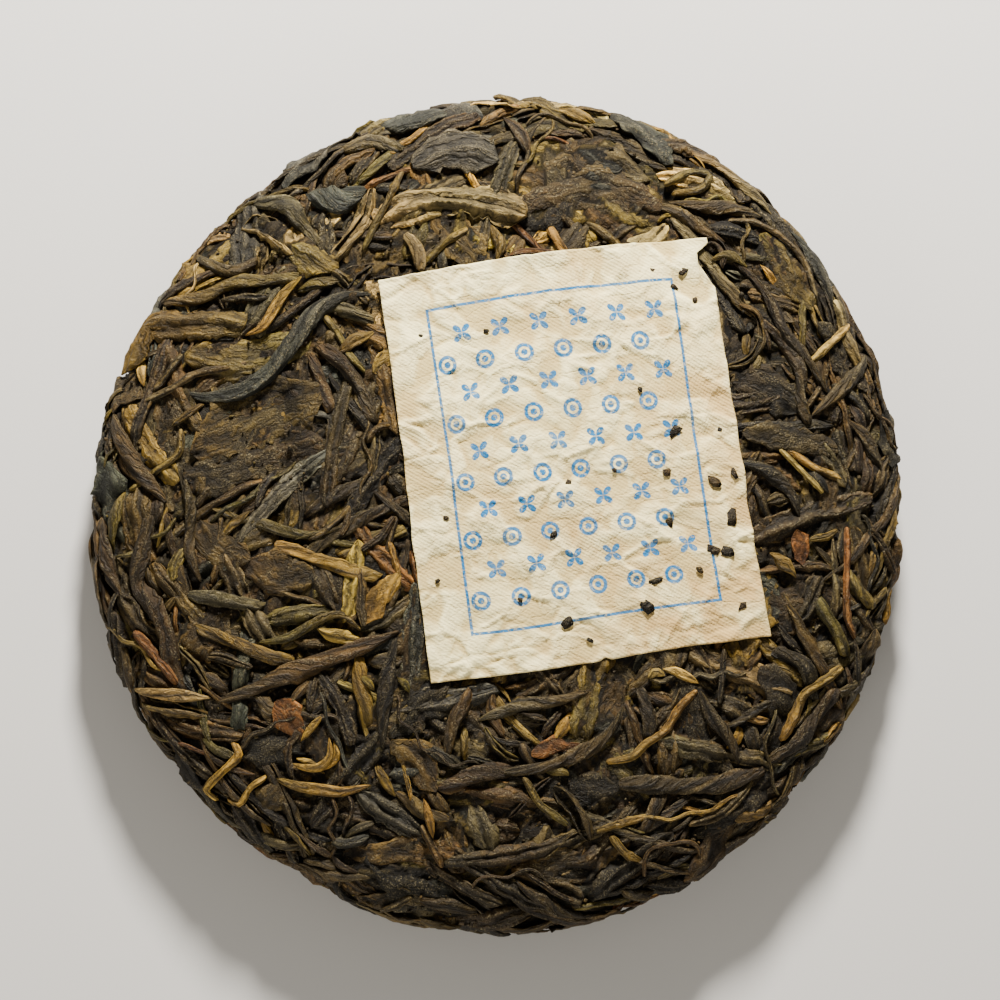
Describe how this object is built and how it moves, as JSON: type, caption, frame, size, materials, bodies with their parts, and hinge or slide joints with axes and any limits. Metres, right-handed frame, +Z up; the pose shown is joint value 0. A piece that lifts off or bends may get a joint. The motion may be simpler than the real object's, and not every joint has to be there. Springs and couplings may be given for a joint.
{
  "type": "pu erh tea cake",
  "caption": "Round disc of compressed whole tea leaves with a low domed face, a flat back with a central hollow, and a thin square paper ticket pressed onto the face.",
  "frame": {"origin": "middle of the footprint, on the plane that the cake rests on", "axes": "+Z up through the domed face, +Y towards the top edge of the paper ticket, +X to the right as the ticket is seen upright"},
  "size_m": [0.1972, 0.2022, 0.0281],
  "materials": {
    "pressed_tea": "dry pressed leaves, dark brown with olive, slate and golden strands",
    "ticket_paper": "matt wrinkled cream paper with tea stains and a thin blue border"
  },
  "bodies": {
    "root": {"tea_cake": "pressed_tea", "inner_ticket": "ticket_paper"}
  },
  "joints": []
}
